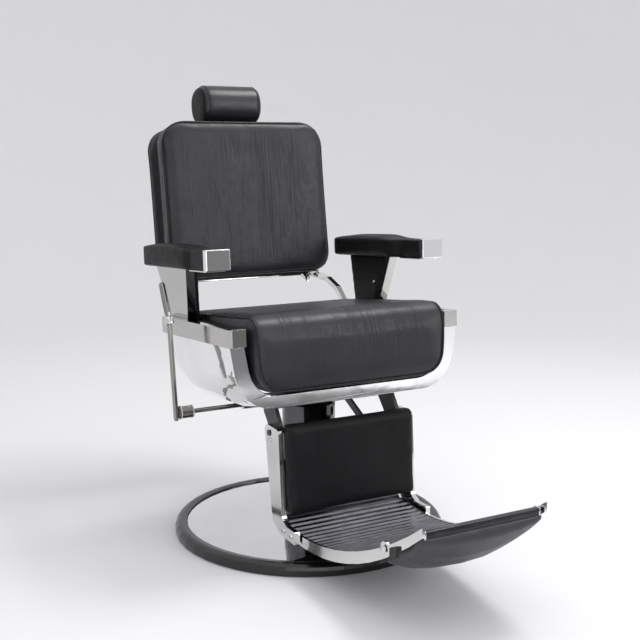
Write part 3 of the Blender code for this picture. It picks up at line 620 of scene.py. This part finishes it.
def seat_edge():
    """The welt along the top edge, over the crest, down the face and round its bottom corners."""
    line = [(0.246, 0.185 - 0.012 * k, 0.552 + 0.0004 * k) for k in range(32)]
    line += [(0.246, -0.196 - 0.034 * math.sin(a), 0.530 + 0.034 * math.cos(a)) for a in quarter(8)]
    line += [(0.2475 - 0.0009 * k, -0.232, 0.525 - 0.010 * k) for k in range(9)]
    line += [(0.176 + 0.064 * math.cos(a), -0.232, 0.452 - 0.056 * math.sin(a)) for a in quarter(12)]
    line += [(0.170 - 0.0085 * k, -0.231, 0.396) for k in range(20)]
    half = [Vector(p) for p in line]
    mirror = [Vector((-p.x, p.y, p.z)) for p in reversed(half[:-1])]
    return [SEAT @ p for p in half + mirror]


tube("seat_piping", on_surface("seat_upholstery", seat_edge(), 0.0018), 0.0030, PIPING, "seat")

roll_low, roll_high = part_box("headrest_cushion")
roll = (roll_low + roll_high) / 2
for side, sign in SIDES:
    loop = [Vector((sign * 0.072, roll.y + 0.060 * math.cos(a), roll.z + 0.056 * math.sin(a)))
            for a in (2 * math.pi * k / 72 for k in range(72))]
    seam = on_surface("headrest_roll", loop, 0.0003, True, 3)
    tube(f"roll_seam_{side}", seam, 0.0013, PIPING, "headrest", True)
    x = ARM_X * sign
    over = [(-0.034, 0.690)] + [(-0.034 + 0.0034 * k, 0.712) for k in range(21)] + [(0.034, 0.690)]
    seam = [SEAT @ Vector((x + sign * dx, -0.026, z)) for dx, z in over]
    seam = on_surface(f"arm_upholstery_{side}", seam, 0.0001, False, 2)
    tube(f"arm_seam_{side}", seam, 0.0010, PIPING, "seat")


# --- small hardware --------------------------------------------------------------------------
def revolved(profile, count):
    """A profile of (radius, height) turned about Z and closed at its first ring."""
    bm = bmesh.new()
    turns = [2 * math.pi * k / count for k in range(count)]
    rings = [[bm.verts.new((r * math.cos(a), r * math.sin(a), z)) for a in turns] for r, z in profile]
    for a, b in zip(rings, rings[1:]):
        for k in range(count):
            bm.faces.new((a[k], a[(k + 1) % count], b[(k + 1) % count], b[k]))
    bm.faces.new(rings[0])
    return bm, rings


def spun(profile, count):
    """A closed solid of revolution."""
    bm, rings = revolved(profile, count)
    bm.faces.new(rings[-1])
    bmesh.ops.recalc_face_normals(bm, faces=bm.faces)
    return bm


def fitting(name, profile, place, direction, body, count=24):
    """A turned piece of chrome hardware, standing on place along direction."""
    bm = spun(profile, count)
    turn = Vector((0, 0, 1)).rotation_difference(Vector(direction)).to_matrix().to_4x4()
    bmesh.ops.transform(bm, matrix=Matrix.Translation(place) @ turn, verts=bm.verts)
    made = object_from(name, bm, CHROME)
    made.data.set_sharp_from_angle(angle=math.radians(40))
    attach(made, body)
    return made


def bolt(name, place, direction, body, radius=0.0065, height=0.0035):
    """A button head with a socket."""
    profile = [(radius, 0.0), (radius, height * 0.35), (radius * 0.85, height * 0.8), (radius * 0.55, height),
               (radius * 0.45, height), (radius * 0.42, height * 0.3), (0.0002, height * 0.25)]
    return fitting(name, profile, place, direction, body, count=20)


def bar(name, low, high, body, material, matrix=None, bevel=0.001):
    """A straight bar between two corners of a tilted group, with softened edges."""
    bm = bmesh.new()
    bmesh.ops.create_cube(bm, size=1.0)
    size = Vector(high) - Vector(low)
    middle = (Vector(high) + Vector(low)) / 2
    bmesh.ops.transform(bm, matrix=Matrix.Translation(middle) @ Matrix.Diagonal((*size, 1)), verts=bm.verts)
    bmesh.ops.bevel(bm, geom=bm.edges, offset=bevel, segments=3, affect="EDGES", profile=0.6)
    bmesh.ops.transform(bm, matrix=matrix or Matrix.Identity(4), verts=bm.verts)
    made = object_from(name, bm, material)
    made.data.set_sharp_from_angle(angle=math.radians(50))
    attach(made, body)
    return made


CAP_PROFILE = [(0.0078, 0), (0.0078, 0.002), (0.0062, 0.0035), (0.003, 0.0040), (0.0002, 0.0040)]
COLLAR_PROFILE = [(0.0102, 0), (0.0108, 0.002), (0.0108, 0.014), (0.0096, 0.017), (0.0002, 0.017)]
RING_PROFILE = [(0.0100, 0), (0.0158, 0.0), (0.0164, 0.0010), (0.0158, 0.0024), (0.0100, 0.0024)]
LEG_BOLTS = ((-0.214, 0.088, 0.0060), (-0.250, 0.0865, 0.0060), (-0.150, 0.284, 0.0050))
STRIP_HALF, CLIP_HALF = 0.1360, 0.1398

for side, sign in SIDES:
    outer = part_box(f"leg_bar_{side}")[1][0] if sign > 0 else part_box(f"leg_bar_{side}")[0][0]
    for k, (y, z, radius) in enumerate(LEG_BOLTS):
        bolt(f"leg_bolt_{side}_{k}", (outer + sign * 0.0001, y, z), (sign, 0, 0), "legrest", radius)
    fitting(f"flip_cap_{side}", CAP_PROFILE, (sign * 0.1564, -0.592, 0.170), (sign, 0, 0), "legrest")
    near, far = sorted((sign * STRIP_HALF, sign * CLIP_HALF))
    low, high = (near, -0.7055, 0.2225), (far, -0.6880, 0.2380)
    bar(f"flip_clip_{side}", low, high, "calf_pad", CHROME, bevel=0.0008)
    bolt(f"arm_bolt_{side}", SEAT @ Vector((sign * 0.2540, 0.088, 0.600)), (-sign, 0, 0.1), "seat", 0.0042)
    low, high = (sign * ARM_X - 0.0235, -0.115, 0.6635), (sign * ARM_X + 0.0235, -0.020, 0.6670)
    bar(f"arm_strip_{side}", low, high, "seat", CHROME, SEAT)
bolt("band_bolt", SEAT @ Vector((0.0, -0.182, 0.3588)), (0, 0, -1), "seat", 0.0055, 0.004)
bar("flip_strip", (-STRIP_HALF, -0.7052, 0.2220), (STRIP_HALF, -0.6925, 0.2372), "calf_pad", CAST_DARK,
    bevel=0.002)
bar("back_rail", (-0.222, 0.044, -0.0080), (0.222, 0.070, -0.0002), "backrest", STEEL, BACK)
bar("back_strip", (-0.222, 0.042, -0.0125), (0.222, 0.056, -0.0082), "backrest", CHROME, BACK)
fitting("lever_collar", COLLAR_PROFILE, (-0.3495, 0.0300, 0.5390), (0, 0.47, 0.88), "side_lever")
for k in range(2):
    fitting(f"hub_ring_{k}", RING_PROFILE, (-0.344 + 0.029 * k, -0.005, 0.336), (1, 0, 0), "side_lever")


# --- studio ----------------------------------------------------------------------------------
def plain(name, color):
    look = Look(name, color, 0.9)
    grain = look.noise(3, 4)
    tone = look.blend(grain, tuple(c * 0.985 for c in color), color)
    return look.finish(tone)


def studio_bowl():
    """A floor that curves up into a round wall, so that no horizon shows from any side."""
    floor, below = 3.02, 0.0005
    bend = 2.6
    profile = [(0.02 + 3.0 * k / 12, 0.0) for k in range(13)]
    profile += [(floor + bend * math.sin(a), bend - bend * math.cos(a)) for a in quarter(14)[1:]]
    profile += [(floor + bend, 4.2)]
    bm, _ = revolved([(r, z - below) for r, z in profile], 96)
    bmesh.ops.recalc_face_normals(bm, faces=bm.faces)
    bmesh.ops.reverse_faces(bm, faces=bm.faces)
    made = object_from("studio", bm, plain("studio_paint", (0.80, 0.80, 0.815)))


def light(name, place, target, size, power):
    data = bpy.data.lights.new(name, "AREA")
    data.shape = "RECTANGLE"
    data.size, data.size_y = size
    data.energy = power
    made = bpy.data.objects.new(name, data)
    bpy.context.scene.collection.objects.link(made)
    made.location = place
    made.rotation_euler = (Vector(target) - Vector(place)).to_track_quat("-Z", "Y").to_euler()


def flag(name, place, target, size, shade):
    """A dark card that only mirrors see, for the dark bands in chrome."""
    bm = bmesh.new()
    bmesh.ops.create_grid(bm, x_segments=1, y_segments=1, size=0.5)
    made = object_from(name, bm, plain(name + "_card", (shade, shade, shade)), False)
    made.scale = (*size, 1)
    made.location = place
    made.rotation_euler = (Vector(target) - Vector(place)).to_track_quat("Z", "Y").to_euler()
    made.visible_camera = made.visible_shadow = made.visible_diffuse = False


studio_bowl()
world = bpy.data.worlds.new("studio_world")
bpy.context.scene.world = world
world.use_nodes = True
world.node_tree.nodes["Background"].inputs["Color"].default_value = (1.0, 0.995, 1.0, 1)
world.node_tree.nodes["Background"].inputs["Strength"].default_value = 0.79
light("key", (-2.2, 1.5, 3.3), (0, 0, 0.5), (3.0, 2.6), 5)
light("top", (1.15, -0.15, 2.9), (0, 0, 0.9), (1.0, 0.8), 34)
light("wash", (0.3, -1.1, 4.0), (0.2, -0.9, 0), (4.4, 4.4), 21)
light("fill", (-1.5, -3.2, 1.3), (0, 0, 0.1), (2.4, 1.6), 16)
light("front", (2.1, -3.3, 1.9), (0, 0, 0.6), (1.9, 1.6), 37)
light("kick", (3.0, -2.4, 0.7), (0, 0, 0.5), (1.0, 1.0), 6)
flag("flag_floor", (1.7, -3.0, 0.012), (1.7, -3.0, 3.0), (4.2, 3.6), 0.09)
flag("flag_front", (1.15, -3.25, 0.50), (0, 0, 0.5), (1.6, 1.0), 0.20)

camera = bpy.data.cameras.new("camera")
camera.lens = 59.2
camera.sensor_width = 36
eye = bpy.data.objects.new("camera", camera)
bpy.context.scene.collection.objects.link(eye)
eye.location = (-1.2218, -2.2381, 0.9446)
eye.rotation_euler = (Vector((0.0324, 0.0, 0.5232)) - eye.location).to_track_quat("-Z", "Y").to_euler()
bpy.context.scene.camera = eye
bpy.context.scene.view_settings.view_transform = "Standard"
